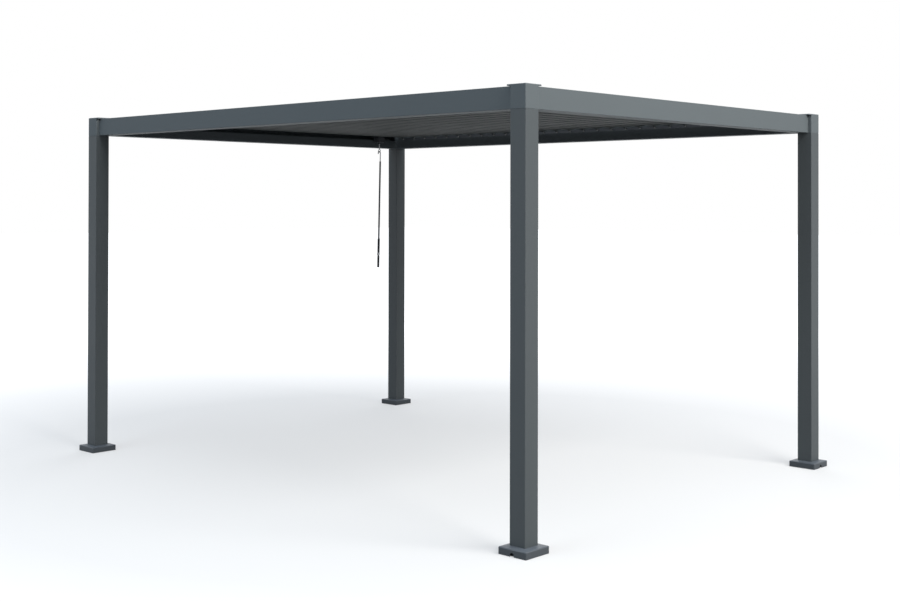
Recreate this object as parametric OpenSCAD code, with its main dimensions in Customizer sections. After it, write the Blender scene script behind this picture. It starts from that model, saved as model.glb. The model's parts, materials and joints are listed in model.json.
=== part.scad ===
// Freestanding aluminium pergola with a roof of turning louvres and a hand crank.
// Millimetres, +Z up. The origin lies on the ground, at the middle of the plan.
// X runs along the long side and Y along the short side; the front is at -Y and the left at -X.

/* [Frame] */
// Length over the outer faces of the posts
frame_l = 4000; // [3200:10:4800]
// Width over the outer faces of the posts
frame_w = 3000; // [2400:10:3600]
// Height of the beam tops above the ground
frame_h = 2311; // [1900:1:2800]

/* [Posts] */
// Side of the square posts
post_s = 100; // [80:1:120]
// Wall of the posts
post_t = 2; // [1.5:0.1:4]
// Radius of the posts' and blocks' outer corners
post_r = 3; // [1:0.5:5]
// How far the base plate stands out around the post
plate_out = 28; // [25:1:36]
// Thickness of the base plate
plate_t = 6; // [4:0.5:10]
// Distance of the anchor holes from the edges of the base plate
anchor_in = 14; // [10:1:15]
// Diameter of the anchor holes
anchor_d = 11; // [8:0.5:13]
// Diameter of the drain hole in the foot of a post
drain_d = 16; // [8:1:20]

/* [Foot covers] */
// How far the square foot cover stands out around the base plate
cover_out = 12; // [9:1:24]
// Height of the cover's upright sides
cover_side = 33; // [25:1:45]
// Rise of the bevel above the sides
cover_bevel = 4; // [3:0.5:10]
// Rise of the sloping top above the bevel
cover_slope = 4.5; // [1:0.5:6]
// Radius of the cover's upright corners
cover_r = 5; // [2:0.5:8]
// Wall of the cover
cover_t = 2; // [1:0.1:3]
// Width of the arched drain notch
notch_w = 26; // [12:1:30]
// Height of the arched drain notch
notch_h = 20; // [14:1:24]

/* [Beams] */
// Height of the beams
beam_h = 115; // [100:1:150]
// Width of the beams
beam_b = 100; // [80:1:110]
// Wall of the beams
beam_t = 2; // [1.5:0.1:4]
// Radius of the beams' outer corners
beam_r = 2; // [1:0.5:4]
// Setback of a beam behind the outer faces of the posts
beam_set = 24; // [10:1:40]
// Height of the inner wall of the gutter in the short beams
gutter_h = 64; // [40:1:75]
// Width of the top flange of the short beams
flange_b = 26; // [10:1:40]

/* [Corner blocks] */
// Wall of the corner block and its tongues
block_t = 4; // [3:0.5:8]
// How far the corner block reaches below the beams
block_drop = 3; // [1:0.5:10]
// Height of the shadow groove between the corner block and the post
groove_h = 2.5; // [1:0.5:4]
// Depth of the shadow groove
groove_d = 1.5; // [0.5:0.5:1.5]
// How far the tongues reach into the post and the beams
tongue_l = 60; // [30:1:100]
// Thickness of the cap plate over the corner
cap_t = 8; // [4:0.5:12]
// Chamfer around the top of the cap plate
cap_chamfer = 3; // [1:0.5:5]

/* [Louvres] */
// Number of louvres
louvre_n = 29; // [24:1:32]
// Overlap of neighbouring louvres when they are closed
louvre_lap = 11; // [8:0.5:16]
// Height of the pivots below the beam tops
louvre_drop = 13; // [12:0.5:20]
// Height of the blade section
blade_h = 24; // [20:1:30]
// Height of the two edges above and below the pivot
edge_z = 8; // [7:0.5:9]
// Thickness of the drip edge that covers the next louvre's rain channel
drip_t = 2; // [1.5:0.5:2.5]
// Width of the drip edge
drip_b = 18; // [15:1:20]
// Width of the rain channel along the lower edge
channel_b = 14; // [10:1:16]
// Thickness of the rain channel's lip and floor
lip_t = 1.6; // [1.2:0.1:2.5]
// Height of the lip's top above the pivot
lip_z = 1; // [-1:0.5:1.5]
// Wall of the blade
blade_t = 1.2; // [1:0.1:2]
// Diameter of the pivot pins
pin_d = 10; // [8:0.5:12]
// Depth of the pivot plugs in the ends of the blade
plug_l = 40; // [20:1:80]
// Thickness of the arm at the back end of each louvre
arm_t = 4; // [3:0.5:6]
// Width of the arm
arm_b = 12; // [10:1:16]
// Offset of the link pins from the pivots, both along the roof and downwards
arm_off = 25; // [22:0.5:30]

/* [Link bar] */
// Height of the link bar
link_h = 16; // [12:0.5:20]
// Thickness of the link bar
link_t = 5; // [3:0.5:6]
// Diameter of the link pins
link_pin_d = 8; // [5:0.5:10]

/* [Gearbox and crank] */
// Distance of the crank eye from the inner face of the left beam
eye_out = 30; // [26:1:36]
// Distance of the crank eye from the inner face of the back beam
eye_in = 231; // [120:1:400]
// Length of the gearbox, along the beam
gear_l = 70; // [50:1:100]
// Diameter of the steel wire of the eye
eye_wire = 6; // [5:0.5:7]
// Inner diameter of the eye
eye_d = 18; // [17:0.5:24]
// Length of the stem between the gearbox and the eye
stem_l = 57; // [40:1:120]
// Diameter of the stem
stem_d = 10; // [8:0.5:12]
// Diameter of the steel wire of the crank hook
hook_wire = 8; // [6:0.5:8]
// Length of the hook's neck below its bend
neck_l = 71; // [40:1:120]
// Length of the crank rod, from the neck to the knuckle
rod_l = 770; // [500:1:1000]
// Diameter of the crank rod
rod_d = 14; // [12:0.5:16]
// Length of the grip sleeve on the rod
sleeve_l = 118; // [80:1:160]
// Outer diameter of the grips
grip_d = 20; // [18:0.5:26]
// Length of the folding grip
grip_l = 94; // [60:1:160]
// Lean of the hanging crank, from the hook's offset
rod_lean = 1.3; // [0:0.1:2]

/* [Clearances] */
// Radial clearance of the louvre pivots in the beams
pivot_gap = 0.5; // [0.3:0.1:0.8]
// Clearance of parts that slide over or into each other
slip_gap = 0.4; // [0.2:0.1:0.8]
// Clearance of the louvre roof to the beams around it
roof_gap = 5; // [5:0.5:8]
// Clearance of the gearbox to the first louvre
swing_gap = 5.5; // [5:0.5:8]

/* [Hidden] */
$fn = 48;
EPS = 0.01;

half_l = frame_l / 2;
half_w = frame_w / 2;
beam_x = half_l - beam_set - beam_b;
beam_y = half_w - beam_set - beam_b;
beam_z = frame_h - beam_h;
post_top = beam_z - block_drop;
plate_s = post_s + 2 * plate_out;
anchor_pitch = plate_s - 2 * anchor_in;
cover_s = plate_s + 2 * cover_out;
cover_h = cover_side + cover_bevel + cover_slope;

louvre_pitch = (2 * (beam_x - roof_gap) - louvre_lap) / louvre_n;
louvre_w = louvre_pitch + louvre_lap;
louvre_z = frame_h - louvre_drop;
// Gaps in front of and behind the link bar, and how far the pins reach past the beams' inner faces
link_gap = 0.5;
head_gap = 1;
pin_out = 8;
louvre_back = beam_y - roof_gap - head_gap - link_t - link_gap - arm_t - 2;
louvre_front = -(beam_y - roof_gap);
arm_back = louvre_back + arm_t;
link_front = arm_back + link_gap;
// Places along the blade section, from the pivot: its two shoulders, edges and middle chamber
shoulder = louvre_w * 3 / 14;
drip_x = louvre_w / 2 - drip_b;
channel_x = louvre_w / 2 - lip_t - channel_b;
web_x = 7;

// Clear opening for rain from each short beam into the corner block: setback, width, height, sill
outlet_in = 20;
outlet_b = 45;
outlet_h = 40;
outlet_sill = 6;

eye_x = -beam_x + eye_out;
eye_y = beam_y - eye_in;
// The gearbox fills the space between the first louvre's blade and the lower part of the beam
gear_top = louvre_z - blade_h / 2 - 4;
gear_z = beam_z + gutter_h - 20;
gear_b = roof_gap + louvre_w / 2 - blade_h / 2 - swing_gap;
bush_l = 10;
ring_r = eye_d / 2 + eye_wire / 2;
ring_z = gear_z - stem_l - ring_r - eye_wire / 2;
// The hook bears on the inside of the eye; its free end hangs in front
hook_gap = 0.5;
hook_r = hook_wire + 4;
hook_free = 10;
hook_z = ring_z - ring_r + eye_wire / 2 + hook_gap + hook_wire / 2;
rod_top = -hook_r - neck_l;
// Wire ends that are seated in the tube of the rod, and the bores for them
seat_l = 20;
// The fork of the knuckle: its pin's depth below the rod, radius, cheeks, tongue and pin
knuckle_drop = 14;
knuckle_z = rod_top - rod_l - knuckle_drop;
fork_r = 8;
cheek_t = 4;
collar_t = 4;
tongue_t = 8;
fold_pin_d = 5;
grip_top = knuckle_z - knuckle_drop;

// Each corner: its name, its signs in X and Y, and the turn of its drain notch
CORNERS = [
  ["front_left", -1, -1, 270],
  ["front_right", 1, -1, 0],
  ["back_left", -1, 1, 180],
  ["back_right", 1, 1, 90]
];

function louvre_x(i) = -beam_x + roof_gap + louvre_w / 2 + (i - 1) * louvre_pitch;
function louvre_name(i) = str("louvre_", i < 10 ? "0" : "", i);

// Carries a flat outline in (x, z) along Y, from y0 to y1
module along_y(y0, y1) {
  translate([0, y1, 0]) rotate([90, 0, 0]) linear_extrude(y1 - y0) children();
}

// Carries a flat outline in (y, z) along X, from x0 to x1
module along_x(x0, x1) {
  translate([x0, 0, 0]) rotate([90, 0, 90]) linear_extrude(x1 - x0) children();
}

// A round bar along Y, from y0 to y1
module rod_y(x, z, y0, y1, d) {
  translate([x, y0, z]) rotate([-90, 0, 0]) cylinder(h = y1 - y0, d = d);
}

// A rectangle from the origin to (b, h) with corners of radius r
module rounded_rect(b, h, r) {
  translate([r, 0]) square([b - 2 * r, h]);
  translate([0, r]) square([b, h - 2 * r]);
  for (x = [r, b - r]) for (y = [r, h - r]) translate([x, y]) circle(r);
}

// A square column about the Z axis, of side s and corner radius r, from z0 to z1
module column(s, z0, z1, r = 0) {
  translate([-s / 2, -s / 2, z0]) linear_extrude(z1 - z0) {
    if (r > 0) rounded_rect(s, s, r);
    else square(s);
  }
}

// A square tube about the Z axis, of outer side s, wall t and corner radius r
module tube(s, t, z0, z1, r = 0) {
  difference() {
    column(s, z0, z1, r);
    column(s - 2 * t, z0 - EPS, z1 + EPS);
  }
}

// Moves a piece from the origin to a corner's post
module at_corner(c) {
  translate([c[1] * (half_l - post_s / 2), c[2] * (half_w - post_s / 2), 0]) children();
}

// Mirrors a piece drawn for the back right corner into any corner
module in_corner(c) {
  mirror([c[1] < 0 ? 1 : 0, 0, 0]) mirror([0, c[2] < 0 ? 1 : 0, 0]) children();
}

// Square tube welded on a base plate, with anchor holes and a drain hole behind the notch
module post(c) {
  color("#3d444b") at_corner(c) rotate([0, 0, c[3]]) difference() {
    union() {
      tube(post_s, post_t, plate_t - EPS, post_top, post_r);
      column(plate_s, 0, plate_t);
    }
    for (x = [-1, 1]) for (y = [-1, 1]) {
      translate([x * anchor_pitch / 2, y * anchor_pitch / 2, -1]) cylinder(h = plate_t + 2, d = anchor_d);
    }
    rod_y(0, plate_t + drain_d / 2, -post_s / 2 - 1, -post_s / 2 + post_t + 1, drain_d);
  }
}

// Outline of the foot cover, drawn in by t
module cover_outline(t) {
  side = cover_s / 2 - t;
  bevel_z = cover_side - t / 2;
  polygon([
    [-side, -t], [side, -t], [side, bevel_z], [side - cover_bevel, bevel_z + cover_bevel],
    [post_s / 2 + t, cover_h - t], [-post_s / 2 - t, cover_h - t],
    [cover_bevel - side, bevel_z + cover_bevel], [-side, bevel_z]
  ]);
}

// The outline's two runs, mitred where they cross
module cover_mass(t) {
  intersection() {
    along_x(-cover_s, cover_s) cover_outline(t);
    along_y(-cover_s, cover_s) cover_outline(t);
    column(cover_s - 2 * t, -1, cover_h, cover_r);
  }
}

// Bevelled sheet cover that slips over the post and hides the base plate
module foot_cover(c) {
  color("#42484f") at_corner(c) rotate([0, 0, c[3]]) difference() {
    cover_mass(0);
    cover_mass(cover_t);
    column(post_s + 2 * slip_gap, -1, cover_h + 1);
    rod_y(0, notch_h - notch_w / 2, -cover_s, -post_s / 2, notch_w);
    translate([-notch_w / 2, -cover_s, -1]) cube([notch_w, cover_s / 2 + 20, notch_h - notch_w / 2 + 1]);
  }
}

// Cap plate with its chamfered rim, from the outer corner to the inner planes of the beams
module cap_plate() {
  side_x = half_l - beam_x;
  side_y = half_w - beam_y;
  intersection() {
    along_x(beam_x, half_l) polygon(cap_outline(beam_y, side_y));
    along_y(beam_y, half_w) polygon(cap_outline(beam_x, side_x));
    translate([beam_x, beam_y, frame_h - 1]) linear_extrude(cap_t + 2) rounded_rect(side_x, side_y, post_r);
  }
}

function cap_outline(start, side) = [
  [start, frame_h], [start + side, frame_h], [start + side, frame_h + cap_t - cap_chamfer],
  [start + side - cap_chamfer, frame_h + cap_t], [start + cap_chamfer, frame_h + cap_t],
  [start, frame_h + cap_t - cap_chamfer]
];

// Hollow block on the post, with a cap plate, tongues in the post and beams, and a gutter outlet
module corner_block(c) {
  tongue_s = post_s - 2 * post_t - 2 * slip_gap;
  tongue_x = half_l - post_s - tongue_l;
  tongue_y = half_w - post_s - tongue_l;
  inner_x = half_l - beam_set - beam_t - slip_gap - block_t;
  inner_y = half_w - beam_set - beam_t - slip_gap - block_t;
  tongue_z = beam_z + beam_t + slip_gap;
  tongue_h = beam_h - 2 * beam_t - 2 * slip_gap;
  color("#3d444b") in_corner(c) {
    difference() {
      union() {
        translate([half_l - post_s / 2, half_w - post_s / 2, 0]) {
          tube(post_s, block_t, post_top + groove_h, frame_h + EPS, post_r);
          tube(post_s - 2 * groove_d, block_t - groove_d, post_top, post_top + groove_h + EPS, post_r);
          tube(tongue_s, block_t, post_top - tongue_l, post_top + EPS);
          column(post_s, frame_h - block_t, frame_h + EPS, post_r);
        }
        cap_plate();
        translate([tongue_x, inner_y, tongue_z]) cube([tongue_l + EPS, block_t, tongue_h]);
        translate([inner_x, tongue_y, tongue_z]) cube([block_t, tongue_l + EPS, tongue_h]);
      }
      translate([half_l - post_s + outlet_in, half_w - post_s - 1, beam_z + outlet_sill]) {
        cube([outlet_b, block_t + 2, outlet_h]);
      }
    }
  }
}

// Bearing holes for the louvre pins in the inner wall of a long beam, at the plane y
module pivot_holes(y) {
  for (i = [1:louvre_n]) {
    rod_y(louvre_x(i), louvre_z, y - beam_t - 1, y + beam_t + 1, pin_d + 2 * pivot_gap);
  }
}

// Closed box beam along the front or the back, drilled for the pivots of the louvres
module long_beam(side) {
  x = half_l - post_s;
  y0 = side > 0 ? beam_y : -beam_y - beam_b;
  color("#3d444b") difference() {
    translate([0, y0, beam_z]) along_x(-x, x) difference() {
      rounded_rect(beam_b, beam_h, beam_r);
      translate([beam_t, beam_t]) square([beam_b - 2 * beam_t, beam_h - 2 * beam_t]);
    }
    pivot_holes(side * beam_y);
  }
}

function gutter_outline() = [
  [0, 0], [beam_b, 0], [beam_b, gutter_h], [beam_b - beam_t, gutter_h], [beam_b - beam_t, beam_t],
  [beam_t, beam_t], [beam_t, beam_h - beam_t], [flange_b, beam_h - beam_t], [flange_b, beam_h], [0, beam_h]
];

// Open gutter beam along the left or right, cut back where it meets the long beams
module short_beam(side) {
  y = half_w - post_s;
  color("#3d444b") mirror([side > 0 ? 1 : 0, 0, 0]) difference() {
    translate([-half_l + beam_set, 0, beam_z]) along_y(-y, y) intersection() {
      polygon(gutter_outline());
      rounded_rect(beam_b, beam_h, beam_r);
    }
    for (s = [-1, 1]) {
      translate([-half_l + post_s, s > 0 ? beam_y : -beam_y - beam_b, beam_z - 1]) {
        cube([beam_b, beam_b, beam_h + 2]);
      }
    }
  }
}

// Upper face of the blade at a distance x from the pivot
function blade_top(x) = lookup(x, [
  [-louvre_w / 2, edge_z], [-shoulder, blade_h / 2], [shoulder, blade_h / 3], [channel_x, 2 * lip_z]
]);

// Lower face of the blade at a distance x from the pivot
function blade_low(x) = lookup(x, [
  [-drip_x, blade_top(-drip_x) - drip_t], [-shoulder, -blade_h / 3], [shoulder, -blade_h / 2],
  [louvre_w / 2, -edge_z]
]);

// Outline of the blade: the drip edge at the left, the rain channel and its lip at the right
module blade_outline() {
  lip_x = louvre_w / 2 - lip_t;
  polygon([
    [-louvre_w / 2, edge_z], [-shoulder, blade_top(-shoulder)], [shoulder, blade_top(shoulder)],
    [channel_x, blade_top(channel_x)], [channel_x + 1, lip_t - edge_z], [lip_x, lip_t - edge_z],
    [lip_x, lip_z - lip_t / 2], [louvre_w / 2, lip_z - lip_t / 2], [louvre_w / 2, -edge_z],
    [shoulder, blade_low(shoulder)], [-shoulder, blade_low(-shoulder)], [-drip_x, blade_low(-drip_x)],
    [-louvre_w / 2, edge_z - drip_t]
  ]);
  translate([louvre_w / 2 - lip_t / 2, lip_z - lip_t / 2]) circle(d = lip_t);
}

// One chamber of the hollow blade, between x0 and x1, with no break in its faces between them
module chamber(x0, x1) {
  polygon([
    [x0, blade_low(x0) + blade_t], [x1, blade_low(x1) + blade_t],
    [x1, blade_top(x1) - blade_t], [x0, blade_top(x0) - blade_t]
  ]);
}

// Hollow blade, its pivot plugs and pins, and the arm that the link bar drives
module louvre(i) {
  web = blade_t / 2;
  plug_h = blade_top(0) - blade_low(0) - blade_t;
  color("#4a5057") translate([louvre_x(i), 0, louvre_z]) {
    along_y(louvre_front, louvre_back) difference() {
      blade_outline();
      chamber(-drip_x + web, -shoulder - web);
      chamber(-shoulder + web, -web_x - web);
      chamber(-web_x + web, web_x - web);
      chamber(web_x + web, shoulder - web);
      chamber(shoulder + web, channel_x - blade_t);
    }
    for (y = [louvre_front, louvre_back - plug_l]) {
      translate([-web_x + 2, y, -plug_h / 2]) cube([2 * web_x - 4, plug_l, plug_h]);
    }
    rod_y(0, 0, -beam_y - pin_out, louvre_front + 1, pin_d);
    rod_y(0, 0, louvre_back - 1, beam_y + pin_out, pin_d);
    rod_y(arm_off, -arm_off, louvre_back, link_front + link_t + head_gap, link_pin_d);
    along_y(louvre_back, arm_back) {
      circle(d = pin_d + 14);
      translate([arm_off, -arm_off]) circle(d = arm_b + 4);
      rotate(-45) translate([0, -arm_b / 2]) square([arm_off * sqrt(2), arm_b]);
    }
  }
}

// Flat bar behind the louvre ends that joins all the link pins
module link_bar() {
  end = link_h / 2 + 6;
  color("#5a6066") translate([0, link_front, louvre_z - arm_off]) difference() {
    translate([louvre_x(1) + arm_off - end, 0, -link_h / 2]) {
      cube([louvre_x(louvre_n) - louvre_x(1) + 2 * end, link_t, link_h]);
    }
    for (i = [1:louvre_n]) {
      rod_y(louvre_x(i) + arm_off, 0, -1, link_t + 1, link_pin_d + 2 * slip_gap);
    }
  }
}

// Worm gearbox screwed to the inner wall of the left beam, below the first louvre
module gearbox() {
  color("#2b2f33") difference() {
    union() {
      translate([-beam_x, eye_y - gear_l / 2, gear_z]) cube([gear_b, gear_l, gear_top - gear_z]);
      translate([eye_x, eye_y, gear_z - bush_l]) cylinder(h = bush_l + 1, d = stem_d + 10);
    }
    translate([eye_x, eye_y, gear_z - bush_l - 1]) cylinder(h = bush_l + 15, d = stem_d + 2 * slip_gap);
  }
}

// Steel stem with the round eye that takes the crank hook
module crank_eye() {
  color("#b9bcc0") translate([eye_x, eye_y, 0]) {
    translate([0, 0, ring_z]) rotate([90, 0, 0]) {
      rotate_extrude() translate([ring_r, 0]) circle(d = eye_wire);
    }
    translate([0, 0, ring_z + ring_r]) cylinder(h = gear_z + 12 - ring_z - ring_r, d = stem_d);
  }
}

// Hangs a piece, drawn upright below the hook's bend, with the lean of the crank
module on_hook() {
  translate([eye_x, eye_y, hook_z]) rotate([-rod_lean, 0, 0]) children();
}

// Steel hook: a half turn of wire over the eye, a short free end, and the neck
module crank_hook() {
  color("#b9bcc0") on_hook() {
    translate([0, 0, -hook_r]) rotate([90, 0, 90]) {
      rotate_extrude(angle = 180) translate([hook_r, 0]) circle(d = hook_wire);
    }
    translate([0, -hook_r, -hook_r - hook_free]) cylinder(h = hook_free + EPS, d = hook_wire);
    translate([0, hook_r, rod_top - seat_l]) cylinder(h = neck_l + seat_l + EPS, d = hook_wire);
  }
}

// Coated steel tube between the hook and the knuckle
module crank_rod() {
  color("#2a2d31") on_hook() translate([0, hook_r, 0]) difference() {
    translate([0, 0, rod_top - rod_l]) cylinder(h = rod_l, d = rod_d);
    for (z = [rod_top - seat_l - 1, rod_top - rod_l - 1]) {
      translate([0, 0, z]) cylinder(h = seat_l + 2, d = hook_wire + 2 * slip_gap);
    }
  }
}

// Plastic grip sleeve over the foot of the rod
module crank_sleeve() {
  z = rod_top - rod_l + 1;
  color("#1d1f22") on_hook() translate([0, hook_r, z]) difference() {
    cylinder(h = sleeve_l, d = grip_d);
    translate([0, 0, -1]) cylinder(h = sleeve_l + 2, d = rod_d + 2 * slip_gap);
  }
}

// Bright fork at the foot of the rod, with the pin that the handle folds on
module crank_knuckle() {
  cheek_x = tongue_t / 2 + slip_gap;
  cheek_h = knuckle_drop - collar_t + 1;
  color("#c3c6c9") on_hook() translate([0, hook_r, knuckle_z]) {
    for (s = [-1, 1]) {
      translate([s > 0 ? cheek_x : -cheek_x - cheek_t, 0, 0]) {
        rotate([0, 90, 0]) cylinder(h = cheek_t, r = fork_r);
        translate([0, -fork_r, 0]) cube([cheek_t, 2 * fork_r, cheek_h]);
      }
    }
    translate([-cheek_x - EPS, 0, 0]) rotate([0, 90, 0]) cylinder(h = 2 * cheek_x + 2 * EPS, d = fold_pin_d);
    translate([0, 0, knuckle_drop - collar_t]) cylinder(h = collar_t, d = grip_d);
    translate([0, 0, knuckle_drop - 1]) cylinder(h = seat_l - 1, d = hook_wire);
  }
}

// Folding grip with the steel tongue that turns on the fork's pin
module crank_handle() {
  color("#1d1f22") on_hook() translate([0, hook_r, 0]) {
    difference() {
      union() {
        translate([-tongue_t / 2, 0, knuckle_z]) rotate([0, 90, 0]) cylinder(h = tongue_t, r = fork_r - 1);
        translate([-tongue_t / 2, 1 - fork_r, grip_top - 1]) {
          cube([tongue_t, 2 * fork_r - 2, knuckle_z - grip_top + 1]);
        }
      }
      translate([-tongue_t, 0, knuckle_z]) rotate([0, 90, 0]) {
        cylinder(h = 2 * tongue_t, d = fold_pin_d + 2 * slip_gap);
      }
    }
    translate([0, 0, grip_top - grip_l]) cylinder(h = grip_l, d = grip_d - 1);
  }
}

for (c = CORNERS) post(c);
for (c = CORNERS) foot_cover(c);
for (c = CORNERS) corner_block(c);
long_beam(-1);  // beam_front
long_beam(1);  // beam_back
short_beam(-1);  // beam_left
short_beam(1);  // beam_right
for (i = [1:louvre_n]) louvre(i);
link_bar();
gearbox();
crank_eye();
crank_hook();
crank_rod();
crank_sleeve();
crank_knuckle();
crank_handle();
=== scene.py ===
"""A freestanding aluminium pergola with a roof of turning louvres and a hand crank, in metres."""

import json
import math

import bpy
import numpy as np
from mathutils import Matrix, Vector


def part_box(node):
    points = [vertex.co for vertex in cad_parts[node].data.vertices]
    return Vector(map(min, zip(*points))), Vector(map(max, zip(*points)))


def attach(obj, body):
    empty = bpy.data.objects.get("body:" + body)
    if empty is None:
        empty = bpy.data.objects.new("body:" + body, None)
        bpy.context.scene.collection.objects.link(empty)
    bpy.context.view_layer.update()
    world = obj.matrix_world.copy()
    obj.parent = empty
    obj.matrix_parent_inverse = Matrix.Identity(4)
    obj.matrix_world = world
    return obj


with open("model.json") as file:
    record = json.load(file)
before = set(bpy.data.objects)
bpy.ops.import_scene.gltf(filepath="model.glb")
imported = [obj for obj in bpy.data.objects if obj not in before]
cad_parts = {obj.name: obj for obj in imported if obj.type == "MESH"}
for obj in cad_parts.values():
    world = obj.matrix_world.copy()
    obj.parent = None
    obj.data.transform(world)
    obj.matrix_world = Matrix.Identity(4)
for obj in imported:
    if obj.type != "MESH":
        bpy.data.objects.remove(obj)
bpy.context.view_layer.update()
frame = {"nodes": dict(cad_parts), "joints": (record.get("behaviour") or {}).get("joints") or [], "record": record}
nodes = frame["nodes"]

# ---------------------------------------------------------------------------
# Viewer. A person of average height stands off the front right corner and
# sees the whole pergola through a short telephoto lens, held almost level.
# ---------------------------------------------------------------------------
EYE_PLACE = (6.0642, -6.3116, 1.7273)
EYE_PITCH, EYE_ROLL, EYE_TURN = 90.434, -0.108, 42.62

scene = bpy.context.scene
scene.view_settings.view_transform = "Standard"

eye = bpy.data.cameras.new("viewer")
eye.sensor_width = 36.0
eye.lens = 51.46
eye.shift_x = -0.0231
eye.shift_y = -0.1187
eye.clip_end = 200.0
viewer = bpy.data.objects.new("viewer", eye)
viewer.location = EYE_PLACE
viewer.rotation_euler = tuple(math.radians(turn) for turn in (EYE_PITCH, EYE_ROLL, EYE_TURN))
scene.collection.objects.link(viewer)
scene.camera = viewer

# ---------------------------------------------------------------------------
# Lamps. Three large soft lamps stand above the roof: the strongest off the
# right side, a cool one off the front and a neutral one behind.
# ---------------------------------------------------------------------------
LAMP_SIDE = 7.0
LAMP_AIM = (0.0, 0.0, 1.6)


def soft_lamp(name, place, power, tint):
    """A square area lamp that looks from its place at the middle of the pergola."""
    lamp = bpy.data.lights.new(name, "AREA")
    lamp.shape = "SQUARE"
    lamp.size = LAMP_SIDE
    lamp.energy = power
    lamp.color = tint
    body = bpy.data.objects.new(name, lamp)
    body.location = place
    aim = Vector(LAMP_AIM) - Vector(place)
    body.rotation_euler = aim.to_track_quat("-Z", "Y").to_euler()
    scene.collection.objects.link(body)


soft_lamp("key_right", (9.5, -0.5, 7.5), 1600.0, (1.0, 0.98, 0.94))
soft_lamp("fill_front", (-1.0, -10.0, 7.5), 420.0, (0.84, 0.97, 1.08))
soft_lamp("fill_back", (-6.0, 8.0, 7.5), 400.0, (1.0, 1.0, 1.0))

# ---------------------------------------------------------------------------
# Sky. It gives more light from above than from the side, slightly cool, and
# shows as plain white where it is seen directly.
# ---------------------------------------------------------------------------
SKY_TINT = (0.86, 0.95, 1.06, 1.0)
SKY_LEVEL_LOW, SKY_LEVEL_HIGH = 0.12, 1.1
WHITE = (1.0, 1.0, 1.0, 1.0)


def plain_node(tree, kind, **values):
    """A shader node of that kind with its input sockets set by name."""
    node = tree.nodes.new(kind)
    for key, value in values.items():
        node.inputs[key.replace("_", " ")].default_value = value
    return node


def seen_directly(tree):
    """1 for rays from the viewer, in a mirror or through glass, and 0 for rays that carry light."""
    path = tree.nodes.new("ShaderNodeLightPath")
    last = path.outputs["Is Camera Ray"]
    for name in ("Is Glossy Ray", "Is Transmission Ray"):
        either = tree.nodes.new("ShaderNodeMath")
        either.operation = "MAXIMUM"
        tree.links.new(last, either.inputs[0])
        tree.links.new(path.outputs[name], either.inputs[1])
        last = either.outputs[0]
    return last


sky = bpy.data.worlds.new("sky")
sky.use_nodes = True
scene.world = sky
tree = sky.node_tree
tree.nodes.clear()
surface = tree.nodes.new("ShaderNodeOutputWorld")
choice = tree.nodes.new("ShaderNodeMixShader")
lighting = plain_node(tree, "ShaderNodeBackground", Color=SKY_TINT)
shown = plain_node(tree, "ShaderNodeBackground", Color=WHITE, Strength=1.0)
direction = tree.nodes.new("ShaderNodeTexCoord")
split = tree.nodes.new("ShaderNodeSeparateXYZ")
rise = plain_node(
    tree, "ShaderNodeMapRange",
    From_Min=-0.1, From_Max=0.9, To_Min=SKY_LEVEL_LOW, To_Max=SKY_LEVEL_HIGH,
)
link = tree.links.new
link(direction.outputs["Generated"], split.inputs[0])
link(split.outputs["Z"], rise.inputs["Value"])
link(rise.outputs["Result"], lighting.inputs["Strength"])
link(seen_directly(tree), choice.inputs["Fac"])
link(lighting.outputs[0], choice.inputs[1])
link(shown.outputs[0], choice.inputs[2])
link(choice.outputs[0], surface.inputs["Surface"])

# ---------------------------------------------------------------------------
# Floor. A wide pale sheet that keeps the soft shadow of the roof and fades to
# white away from it. It sends little light up, and from below it is clear.
# ---------------------------------------------------------------------------
FLOOR_REACH, FLOOR_DROP = 60.0, 0.001
FLOOR_DULL = (0.12, 0.12, 0.12, 1.0)
FLOOR_PALE = (0.36, 0.36, 0.36, 1.0)
FADE_START, FADE_END = 3.0, 9.0
GLOW_NEAR, GLOW_FAR = 0.4, 1.0

corners = FLOOR_REACH * np.array([(-1, -1), (1, -1), (1, 1), (-1, 1)])
floor_mesh = bpy.data.meshes.new("floor")
floor_mesh.from_pydata(np.insert(corners, 2, -FLOOR_DROP, axis=1).tolist(), [], [(0, 1, 2, 3)])
floor = bpy.data.objects.new("floor", floor_mesh)
scene.collection.objects.link(floor)

paper = bpy.data.materials.new("pale_floor")
paper.use_nodes = True
tree = paper.node_tree
tree.nodes.clear()
surface = tree.nodes.new("ShaderNodeOutputMaterial")
choice = tree.nodes.new("ShaderNodeMixShader")
brightened = tree.nodes.new("ShaderNodeAddShader")
dull = plain_node(tree, "ShaderNodeBsdfDiffuse", Color=FLOOR_DULL)
pale = plain_node(tree, "ShaderNodeBsdfDiffuse", Color=FLOOR_PALE)
glow = plain_node(tree, "ShaderNodeEmission", Color=WHITE)
place = tree.nodes.new("ShaderNodeTexCoord")
distance = tree.nodes.new("ShaderNodeVectorMath")
distance.operation = "LENGTH"
fade = plain_node(
    tree, "ShaderNodeMapRange",
    From_Min=FADE_START, From_Max=FADE_END, To_Min=GLOW_NEAR, To_Max=GLOW_FAR,
)
clear = tree.nodes.new("ShaderNodeBsdfTransparent")
side = tree.nodes.new("ShaderNodeNewGeometry")
two_sided = tree.nodes.new("ShaderNodeMixShader")
link = tree.links.new
link(place.outputs["Object"], distance.inputs[0])
link(distance.outputs["Value"], fade.inputs["Value"])
link(fade.outputs["Result"], glow.inputs["Strength"])
link(pale.outputs[0], brightened.inputs[0])
link(glow.outputs[0], brightened.inputs[1])
link(seen_directly(tree), choice.inputs["Fac"])
link(dull.outputs[0], choice.inputs[1])
link(brightened.outputs[0], choice.inputs[2])
link(side.outputs["Backfacing"], two_sided.inputs["Fac"])
link(choice.outputs[0], two_sided.inputs[1])
link(clear.outputs[0], two_sided.inputs[2])
link(two_sided.outputs[0], surface.inputs["Surface"])
floor.data.materials.append(paper)

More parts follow.
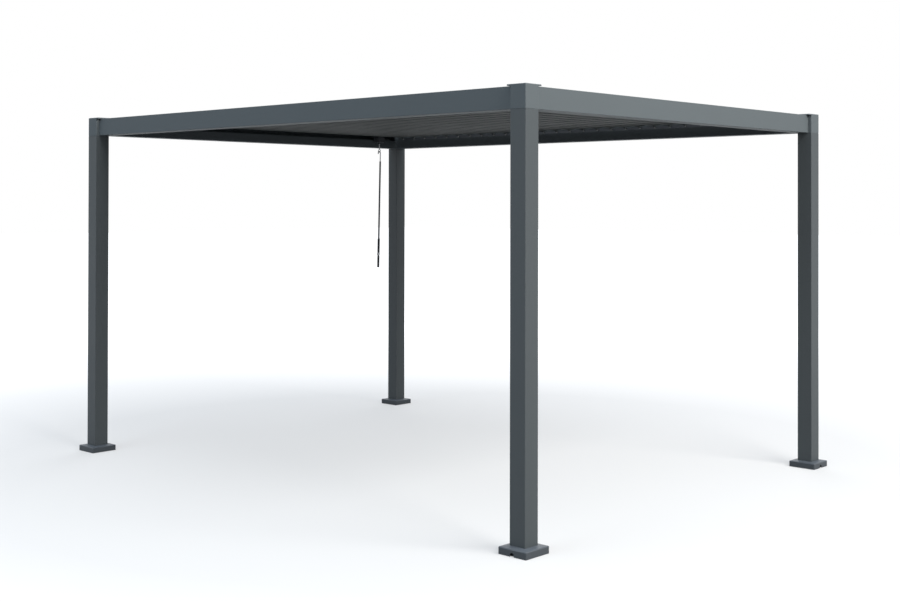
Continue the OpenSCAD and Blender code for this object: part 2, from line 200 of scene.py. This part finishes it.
# ---------------------------------------------------------------------------
# Posts. Square aluminium tubes welded on base plates, in baked anthracite
# powder: a fine orange-peel grain, faint clouds, and upward faces lighter and
# bluer, partly a thin veil of dust and partly painted sky light.
# ---------------------------------------------------------------------------
# The third share moves upward faces towards a lighter tint: partly dust, partly painted sky light.
CLOUD_SHARE, GRAIN_SHARE, DUST_AND_SKY_SHARE = 0.45, 0.55, 0.35
ROUGH_SPREAD, GRAIN_HEIGHT = 0.06, 0.0004


def coat_texture_group():
    """Two noises on object coordinates, one fine and one slow, and how far a face looks up."""
    group = bpy.data.node_groups.new("coat_texture", "ShaderNodeTree")
    socket = group.interface.new_socket
    for name, value in (("Grain Scale", 900.0), ("Cloud Scale", 2.5)):
        socket(name, in_out="INPUT", socket_type="NodeSocketFloat").default_value = value
    for name in ("Grain", "Clouds", "Upward"):
        socket(name, in_out="OUTPUT", socket_type="NodeSocketFloat")
    start = group.nodes.new("NodeGroupInput")
    end = group.nodes.new("NodeGroupOutput")
    where = group.nodes.new("ShaderNodeTexCoord")
    grain = plain_node(group, "ShaderNodeTexNoise", Detail=2.0, Roughness=0.6)
    clouds = plain_node(group, "ShaderNodeTexNoise", Detail=4.0, Roughness=0.55)
    geometry = group.nodes.new("ShaderNodeNewGeometry")
    split = group.nodes.new("ShaderNodeSeparateXYZ")
    upward = plain_node(group, "ShaderNodeMapRange", From_Min=0.2, From_Max=1.0)
    link = group.links.new
    link(where.outputs["Object"], grain.inputs["Vector"])
    link(where.outputs["Object"], clouds.inputs["Vector"])
    link(start.outputs["Grain Scale"], grain.inputs["Scale"])
    link(start.outputs["Cloud Scale"], clouds.inputs["Scale"])
    link(geometry.outputs["Normal"], split.inputs["Vector"])
    link(split.outputs["Z"], upward.inputs["Value"])
    link(grain.outputs["Fac"], end.inputs["Grain"])
    link(clouds.outputs["Fac"], end.inputs["Clouds"])
    link(upward.outputs["Result"], end.inputs["Upward"])
    return group


coat_texture = coat_texture_group()


def colour_mix(tree, first, second):
    """A colour mix from first to second, either of them left open when None."""
    node = tree.nodes.new("ShaderNodeMix")
    node.data_type = "RGBA"
    for socket, colour in (("A", first), ("B", second)):
        if colour is not None:
            node.inputs[socket].default_value = (*colour, 1.0)
    return node


def math_node(tree, operation, factor=None):
    """A math node, with its second number set when a factor is given."""
    node = tree.nodes.new("ShaderNodeMath")
    node.operation = operation
    if factor is not None:
        node.inputs[1].default_value = factor
    return node


def coat(name, dark, light, dust_and_sky_light, rough, bump, grain_scale=900.0, metallic=0.0, gloss=0.3):
    """Surface whose colour runs from dark to light by grain and clouds, then towards a lighter tint
    by how far it looks up, which is partly dust and partly painted sky light; clouds move the
    roughness and the grain lifts the surface."""
    material = bpy.data.materials.new(name)
    material.use_nodes = True
    tree = material.node_tree
    shader = tree.nodes["Principled BSDF"]
    shader.inputs["Metallic"].default_value = metallic
    shader.inputs["Specular IOR Level"].default_value = gloss
    texture = tree.nodes.new("ShaderNodeGroup")
    texture.node_tree = coat_texture
    texture.inputs["Grain Scale"].default_value = grain_scale
    grain_part = math_node(tree, "MULTIPLY", GRAIN_SHARE)
    both = math_node(tree, "MULTIPLY_ADD", CLOUD_SHARE)
    powder = colour_mix(tree, dark, light)
    dust_and_sky_part = math_node(tree, "MULTIPLY", DUST_AND_SKY_SHARE)
    dusted_and_sky_lit = colour_mix(tree, None, dust_and_sky_light)
    roughness = plain_node(
        tree, "ShaderNodeMapRange", To_Min=rough - ROUGH_SPREAD, To_Max=rough + ROUGH_SPREAD,
    )
    relief = plain_node(tree, "ShaderNodeBump", Strength=bump, Distance=GRAIN_HEIGHT)
    link = tree.links.new
    link(texture.outputs["Grain"], grain_part.inputs[0])
    link(texture.outputs["Clouds"], both.inputs[0])
    link(grain_part.outputs[0], both.inputs[2])
    link(both.outputs[0], powder.inputs["Factor"])
    link(powder.outputs["Result"], dusted_and_sky_lit.inputs["A"])
    # Faces that look up are lightened towards the dust colour: partly dust, partly painted sky light.
    link(texture.outputs["Upward"], dust_and_sky_part.inputs[0])
    link(dust_and_sky_part.outputs[0], dusted_and_sky_lit.inputs["Factor"])
    link(dusted_and_sky_lit.outputs["Result"], shader.inputs["Base Color"])
    link(texture.outputs["Clouds"], roughness.inputs["Value"])
    link(roughness.outputs["Result"], shader.inputs["Roughness"])
    link(texture.outputs["Grain"], relief.inputs["Height"])
    link(relief.outputs["Normal"], shader.inputs["Normal"])
    return material


def dress(slot, material):
    """Puts one material on every CAD node that the record gives this slot."""
    for part in frame["record"]["subparts"]:
        if part["material_slot"] == slot:
            materials = nodes[part["node"]].data.materials
            if not materials:
                materials.append(material)
            for k in range(len(materials)):
                materials[k] = material


# Each dust colour below is the lighter tint of upward faces: partly dust, partly painted sky light.
post_coat = coat(
    "post_coat", dark=(0.048, 0.057, 0.061), light=(0.062, 0.071, 0.076),
    dust_and_sky_light=(0.12, 0.135, 0.155), rough=0.52, bump=0.35,
)
dress("post_coat", post_coat)

# ---------------------------------------------------------------------------
# Foot covers. Folded aluminium hoods that hide the base plates and anchors,
# in the same powder, a little bluer and smoother.
# ---------------------------------------------------------------------------
dress("cover_coat", coat(
    "cover_coat", dark=(0.042, 0.05, 0.057), light=(0.055, 0.063, 0.072),
    dust_and_sky_light=(0.13, 0.15, 0.18), rough=0.48, bump=0.3,
))

# ---------------------------------------------------------------------------
# Beams and corner blocks. Extruded beams pushed over the tongues of the corner
# blocks, in a slightly lighter batch of the same powder.
# ---------------------------------------------------------------------------
dress("beam_coat", coat(
    "beam_coat", dark=(0.087, 0.1, 0.106), light=(0.105, 0.12, 0.128),
    dust_and_sky_light=(0.14, 0.155, 0.175), rough=0.58, bump=0.3, gloss=0.12,
))

# ---------------------------------------------------------------------------
# Louvres. Hollow extruded blades with an arm and pins fixed to their ends,
# powder coated to a duller and slightly warmer shade than the frame.
# ---------------------------------------------------------------------------
dress("louvre_coat", coat(
    "louvre_coat", dark=(0.058, 0.064, 0.062), light=(0.074, 0.08, 0.078),
    dust_and_sky_light=(0.12, 0.135, 0.15), rough=0.65, bump=0.3, gloss=0.1,
))

# ---------------------------------------------------------------------------
# Gearbox housing. A small die casting screwed to the left beam, with a coarser
# and darker skin than the profiles.
# ---------------------------------------------------------------------------
dress("gearbox_coat", coat(
    "gearbox_coat", dark=(0.035, 0.038, 0.042), light=(0.05, 0.054, 0.06),
    dust_and_sky_light=(0.09, 0.095, 0.1), rough=0.5, bump=0.5, grain_scale=500.0,
))

# ---------------------------------------------------------------------------
# Link bar. A flat anodised aluminium bar along the back beam, held to the
# louvre arms by their bolts.
# ---------------------------------------------------------------------------
dress("link_metal", coat(
    "link_metal", dark=(0.09, 0.1, 0.112), light=(0.12, 0.13, 0.145),
    dust_and_sky_light=(0.15, 0.16, 0.18), rough=0.38, bump=0.15, grain_scale=1500.0, metallic=0.6,
))

# ---------------------------------------------------------------------------
# Crank. Bent zinc-plated wire makes the eye and the hook, the knuckle is
# plated too, and the steel rod has the anthracite powder.
# ---------------------------------------------------------------------------
dress("crank_steel", coat(
    "crank_steel", dark=(0.2, 0.205, 0.215), light=(0.32, 0.325, 0.33),
    dust_and_sky_light=(0.3, 0.3, 0.3), rough=0.34, bump=0.2, grain_scale=700.0, metallic=1.0,
))
dress("crank_coat", coat(
    "crank_coat", dark=(0.045, 0.05, 0.056), light=(0.06, 0.066, 0.074),
    dust_and_sky_light=(0.1, 0.105, 0.11), rough=0.42, bump=0.25,
))

# ---------------------------------------------------------------------------
# Ribbed grips. The sleeve on the rod and the folding grip are moulded plastic
# with shallow rings every few millimetres and a dull, handled surface.
# ---------------------------------------------------------------------------
RIB_SPACING, RIB_HEIGHT = 0.0055, 0.0012
PLASTIC_DARK, PLASTIC_LIGHT = (0.018, 0.018, 0.02), (0.034, 0.034, 0.037)
PLASTIC_GLOSS, PLASTIC_ROUGH_LOW, PLASTIC_ROUGH_HIGH = 0.4, 0.45, 0.65
MOULD_GRAIN, MOULD_GRAIN_SHARE, RIB_STRENGTH = 1400.0, 0.08, 0.9


def ribbed_plastic(name):
    """Matt plastic whose rings are a sine of the height along Z, with fine moulded grain."""
    material = bpy.data.materials.new(name)
    material.use_nodes = True
    tree = material.node_tree
    shader = tree.nodes["Principled BSDF"]
    shader.inputs["Specular IOR Level"].default_value = PLASTIC_GLOSS
    texture = tree.nodes.new("ShaderNodeGroup")
    texture.node_tree = coat_texture
    texture.inputs["Grain Scale"].default_value = MOULD_GRAIN
    colour = colour_mix(tree, PLASTIC_DARK, PLASTIC_LIGHT)
    roughness = plain_node(
        tree, "ShaderNodeMapRange", To_Min=PLASTIC_ROUGH_LOW, To_Max=PLASTIC_ROUGH_HIGH,
    )
    where = tree.nodes.new("ShaderNodeTexCoord")
    split = tree.nodes.new("ShaderNodeSeparateXYZ")
    phase = math_node(tree, "MULTIPLY", 2.0 * math.pi / RIB_SPACING)
    wave = math_node(tree, "SINE")
    height = math_node(tree, "MULTIPLY_ADD", MOULD_GRAIN_SHARE)
    rings = plain_node(tree, "ShaderNodeBump", Strength=RIB_STRENGTH, Distance=RIB_HEIGHT)
    link = tree.links.new
    link(where.outputs["Object"], split.inputs[0])
    link(split.outputs["Z"], phase.inputs[0])
    link(phase.outputs[0], wave.inputs[0])
    link(texture.outputs["Grain"], height.inputs[0])
    link(wave.outputs[0], height.inputs[2])
    link(height.outputs[0], rings.inputs["Height"])
    link(rings.outputs["Normal"], shader.inputs["Normal"])
    link(texture.outputs["Grain"], colour.inputs["Factor"])
    link(colour.outputs["Result"], shader.inputs["Base Color"])
    link(texture.outputs["Clouds"], roughness.inputs["Value"])
    link(roughness.outputs["Result"], shader.inputs["Roughness"])
    return material


dress("grip_plastic", ribbed_plastic("ribbed_grip"))

# ---------------------------------------------------------------------------
# Pivot bushes. Each louvre turns in flanged nylon bushes that are pressed into
# the inner walls of the two long beams; only the grey flanges show.
# ---------------------------------------------------------------------------
BUSH_BORE, BUSH_RIM = 0.0052, 0.0085
FLANGE_THICK, FLANGE_EDGE, FLANGE_BEVEL = 0.0015, 0.00105, 0.0005
BUSH_SIDES = 20

joints = {joint["name"]: joint for joint in frame["joints"]}
louvres = sorted(name for name in nodes if name.startswith("louvre_"))
pivots = np.array([joints[name + "_turn"]["pos_m"] for name in louvres])
front_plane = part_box("beam_front")[1].y
back_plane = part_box("beam_back")[0].y


def turned(name, profile, centres, axis, sides, material, smooth=True):
    """Turned pieces: the loop (radius, reach) swept round the axis, copied to every centre.
    A loop whose ends lie on the axis closes in one point at each end; any other is a ring."""
    profile = np.array(profile, dtype=float)
    axis = np.array(axis, dtype=float) / np.linalg.norm(axis)
    across = (0.0, 0.0, 1.0) if abs(axis[2]) < 0.9 else (1.0, 0.0, 0.0)
    side = np.cross(axis, across)
    side /= np.linalg.norm(side)
    up = np.cross(axis, side)
    angle = np.linspace(0.0, 2.0 * math.pi, sides, endpoint=False)
    spoke = np.cos(angle)[:, None] * side + np.sin(angle)[:, None] * up
    poled = profile[0, 0] == 0.0
    rows = profile[1:-1] if poled else profile
    count = len(rows)
    points = (rows[:, None, 0, None] * spoke + rows[:, None, 1, None] * axis).reshape(-1, 3)

    bands = np.arange(count - 1 if poled else count)
    k, j = (grid.ravel() for grid in np.meshgrid(bands, np.arange(sides), indexing="ij"))
    next_k, next_j = (k + 1) % count, (j + 1) % sides
    quads = np.stack(
        [k * sides + j, k * sides + next_j, next_k * sides + next_j, next_k * sides + j], axis=1,
    )
    fans = np.zeros((0, 3), dtype=int)
    if poled:
        first_pole, last_row = count * sides, (count - 1) * sides
        points = np.vstack([points, profile[0, 1] * axis, profile[-1, 1] * axis])
        rim = np.arange(sides)
        after = (rim + 1) % sides
        near = np.stack([rim, np.full(sides, first_pole), after], axis=1)
        far = np.stack([last_row + after, np.full(sides, first_pole + 1), last_row + rim], axis=1)
        fans = np.vstack([near, far])

    # The signed volume tells which way the faces point, and they are turned outwards by it.
    corners = points[np.vstack([quads[:, [0, 1, 2]], quads[:, [0, 2, 3]], fans])]
    volume = np.einsum("ij,ij->", corners[:, 0], np.cross(corners[:, 1], corners[:, 2]))
    if volume < 0.0:
        quads, fans = quads[:, ::-1], fans[:, ::-1]

    centres = np.atleast_2d(np.array(centres, dtype=float))
    verts = (centres[:, None] + points).reshape(-1, 3)
    shift = len(points) * np.arange(len(centres))[:, None, None]
    faces = (quads + shift).reshape(-1, 4).tolist() + (fans + shift).reshape(-1, 3).tolist()
    mesh = bpy.data.meshes.new(name)
    mesh.from_pydata(verts.tolist(), [], faces)
    mesh.polygons.foreach_set("use_smooth", np.full(len(mesh.polygons), smooth))
    mesh.materials.append(material)
    piece = bpy.data.objects.new(name, mesh)
    scene.collection.objects.link(piece)
    return piece


nylon = coat(
    "nylon", dark=(0.085, 0.088, 0.09), light=(0.12, 0.123, 0.125),
    dust_and_sky_light=(0.16, 0.16, 0.165), rough=0.5, bump=0.2, grain_scale=1200.0,
)
flange = [
    (BUSH_BORE, 0.0), (BUSH_RIM, 0.0), (BUSH_RIM, FLANGE_EDGE),
    (BUSH_RIM - FLANGE_BEVEL, FLANGE_THICK), (BUSH_BORE, FLANGE_THICK),
]
for name, plane, inward in (("bushes_front", front_plane, 1.0), ("bushes_back", back_plane, -1.0)):
    spots = np.column_stack([pivots[:, 0], np.full(len(pivots), plane), pivots[:, 2]])
    bushes = turned(name, flange, spots, (0.0, inward, 0.0), BUSH_SIDES, nylon, smooth=False)
    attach(bushes, "frame")

# ---------------------------------------------------------------------------
# Gutter covers. A folded aluminium strip is clipped under the flange of each
# short beam and keeps leaves and sky light out of the gutter below it.
# ---------------------------------------------------------------------------
STRIP_THICK, STRIP_LIP = 0.0015, 0.007
STRIP_DROP, STRIP_INSET, STRIP_END = 0.0022, 0.008, 0.002
WALL_DEPTH = 0.0024


def folded_strip(name, outline, start, end, material):
    """A closed outline in x and z, carried straight along y from start to end, with flat ends."""
    outline = np.array(outline, dtype=float)
    count = len(outline)
    points = np.concatenate([np.insert(outline, 1, y, axis=1) for y in (start, end)])
    k = np.arange(count)
    after = (k + 1) % count
    sides = np.stack([k, after, after + count, k + count], axis=1)
    x, z = outline.T
    if np.sum(x * np.roll(z, -1) - np.roll(x, -1) * z) > 0.0:
        sides, ends = sides[:, ::-1], [k.tolist(), (k[::-1] + count).tolist()]
    else:
        ends = [k[::-1].tolist(), (k + count).tolist()]
    mesh = bpy.data.meshes.new(name)
    mesh.from_pydata(points.tolist(), [], sides.tolist() + ends)
    mesh.materials.append(material)
    piece = bpy.data.objects.new(name, mesh)
    scene.collection.objects.link(piece)
    return piece


for name in ("beam_left", "beam_right"):
    low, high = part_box(name)
    outward = -1.0 if high.x < 0.0 else 1.0
    wall, edge = (low.x, high.x) if outward < 0.0 else (high.x, low.x)
    wall, edge = wall - outward * WALL_DEPTH, edge + outward * STRIP_INSET
    top = high.z - STRIP_DROP
    turn = edge + outward * STRIP_THICK
    outline = [
        (wall, top), (edge, top), (edge, top - STRIP_LIP), (turn, top - STRIP_LIP),
        (turn, top - STRIP_THICK), (wall, top - STRIP_THICK),
    ]
    start, end = low.y + STRIP_END, high.y - STRIP_END
    strip = folded_strip(
        name.replace("beam", "gutter_cover"), outline, start, end, post_coat,
    )
    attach(strip, "frame")

# ---------------------------------------------------------------------------
# Link bolts. A button-head bolt goes through the arm of every louvre and the
# link bar; a spring clip on its far end keeps the bar on.
# ---------------------------------------------------------------------------
ARM_OFFSET, ARM_FRONT = 0.025, 0.0045
BOLT_HEAD, BOLT_EDGE, BOLT_RISE, BOLT_SIDES, DOME_ROWS = 0.0065, 0.001, 0.0036, 18, 6
SOCKET_RADIUS, SOCKET_DEPTH = 0.0022, 0.002
CLIP_INNER, CLIP_OUTER, CLIP_THICK, CLIP_GAP = 0.0042, 0.0075, 0.0008, 0.0001

bar_front, bar_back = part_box("link_bar")[0].y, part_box("link_bar")[1].y
dark_zinc = coat(
    "bolt_zinc", dark=(0.13, 0.135, 0.14), light=(0.2, 0.205, 0.21),
    dust_and_sky_light=(0.2, 0.2, 0.2), rough=0.42, bump=0.2, metallic=0.8, gloss=0.4,
)
bend = np.linspace(0.0, 0.5 * math.pi, DOME_ROWS)[:-1]
dome = np.column_stack(
    [BOLT_HEAD * np.cos(bend), BOLT_EDGE + (BOLT_RISE - BOLT_EDGE) * np.sin(bend)],
)
button = [
    (0.0, 0.0), (BOLT_HEAD, 0.0), *dome.tolist(), (SOCKET_RADIUS, BOLT_RISE),
    (SOCKET_RADIUS, BOLT_RISE - SOCKET_DEPTH), (0.0, BOLT_RISE - SOCKET_DEPTH),
]
clip = [(CLIP_INNER, 0.0), (CLIP_OUTER, 0.0), (CLIP_OUTER, CLIP_THICK), (CLIP_INNER, CLIP_THICK)]
for name, pivot in zip(louvres, pivots):
    number = name[-2:]
    x, z = pivot[0] + ARM_OFFSET, pivot[2] - ARM_OFFSET
    head_spot, clip_spot = (x, bar_front - ARM_FRONT, z), (x, bar_back + CLIP_GAP, z)
    head = turned(
        "link_bolt_" + number, button, head_spot, (0.0, -1.0, 0.0), BOLT_SIDES, dark_zinc,
    )
    ring = turned(
        "link_clip_" + number, clip, clip_spot, (0.0, 1.0, 0.0), BOLT_SIDES, dark_zinc,
        smooth=False,
    )
    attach(head, name)
    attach(ring, name)

# ---------------------------------------------------------------------------
# Gearbox fittings. Four cheese-head screws close the housing from below, and a
# black rubber seal keeps rain out where the stem leaves it.
# ---------------------------------------------------------------------------
BUSH_LENGTH = 0.010
SCREW_INSET, SCREW_RADIUS, SCREW_RISE, SCREW_SIDES = 0.008, 0.0036, 0.0022, 16
RECESS_RADIUS, RECESS_FLOOR = 0.4 * SCREW_RADIUS, 0.4 * SCREW_RISE
SEAL_BORE, SEAL_RIM, SEAL_EDGE, SEAL_SIDES = 0.0054, 0.0098, 0.001, 28
SEAL_SHOULDER, SEAL_TIP = (0.0075, 0.003), (0.0056, 0.0035)

low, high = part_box("gearbox")
stem = joints["crank_turn"]["pos_m"]
housing_floor = low.z + BUSH_LENGTH
spots = [
    (x, y, housing_floor)
    for x in (low.x + SCREW_INSET, high.x - SCREW_INSET)
    for y in (low.y + SCREW_INSET, high.y - SCREW_INSET)
]
cheese = [
    (0.0, 0.0), (SCREW_RADIUS, 0.0), (SCREW_RADIUS, 0.8 * SCREW_RISE),
    (0.9 * SCREW_RADIUS, SCREW_RISE), (RECESS_RADIUS, SCREW_RISE),
    (RECESS_RADIUS, RECESS_FLOOR), (0.0, RECESS_FLOOR),
]
screws = turned(
    "gearbox_screws", cheese, spots, (0.0, 0.0, -1.0), SCREW_SIDES, dark_zinc, smooth=False,
)
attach(screws, "frame")
rubber = coat(
    "seal_rubber", dark=(0.012, 0.012, 0.013), light=(0.022, 0.022, 0.023),
    dust_and_sky_light=(0.05, 0.05, 0.05), rough=0.7, bump=0.3, grain_scale=800.0,
)
lip = [(SEAL_BORE, 0.0), (SEAL_RIM, 0.0), (SEAL_RIM, SEAL_EDGE), SEAL_SHOULDER, SEAL_TIP]
seal = turned(
    "stem_seal", lip, (stem[0], stem[1], low.z), (0.0, 0.0, -1.0), SEAL_SIDES, rubber,
)
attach(seal, "frame")

# ---------------------------------------------------------------------------
# Ground anchors. Hexagon bolts with washers hold each base plate down under
# its foot cover.
# ---------------------------------------------------------------------------
PLATE_TOP, ANCHOR_INSET = 0.006, 0.014
WASHER_RADIUS, WASHER_THICK, WASHER_SIDES = 0.0098, 0.0016, 24
HEX_RADIUS, HEX_RISE, HEX_SIDES = 0.0092, 0.0064, 6

spots = []
for name in sorted(nodes):
    if name.startswith("post_"):
        low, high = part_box(name)
        spots += [
            (x, y, PLATE_TOP)
            for x in (low.x + ANCHOR_INSET, high.x - ANCHOR_INSET)
            for y in (low.y + ANCHOR_INSET, high.y - ANCHOR_INSET)
        ]
washer = [(0.0, 0.0), (WASHER_RADIUS, 0.0), (WASHER_RADIUS, WASHER_THICK), (0.0, WASHER_THICK)]
hexagon = [
    (0.0, 0.0), (HEX_RADIUS, 0.0), (HEX_RADIUS, 0.85 * HEX_RISE),
    (0.88 * HEX_RADIUS, HEX_RISE), (0.0, HEX_RISE),
]
plates = turned(
    "anchor_washers", washer, spots, (0.0, 0.0, 1.0), WASHER_SIDES, dark_zinc, smooth=False,
)
raised = np.array(spots) + (0.0, 0.0, WASHER_THICK)
heads = turned(
    "anchor_heads", hexagon, raised, (0.0, 0.0, 1.0), HEX_SIDES, dark_zinc, smooth=False,
)
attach(plates, "frame")
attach(heads, "frame")
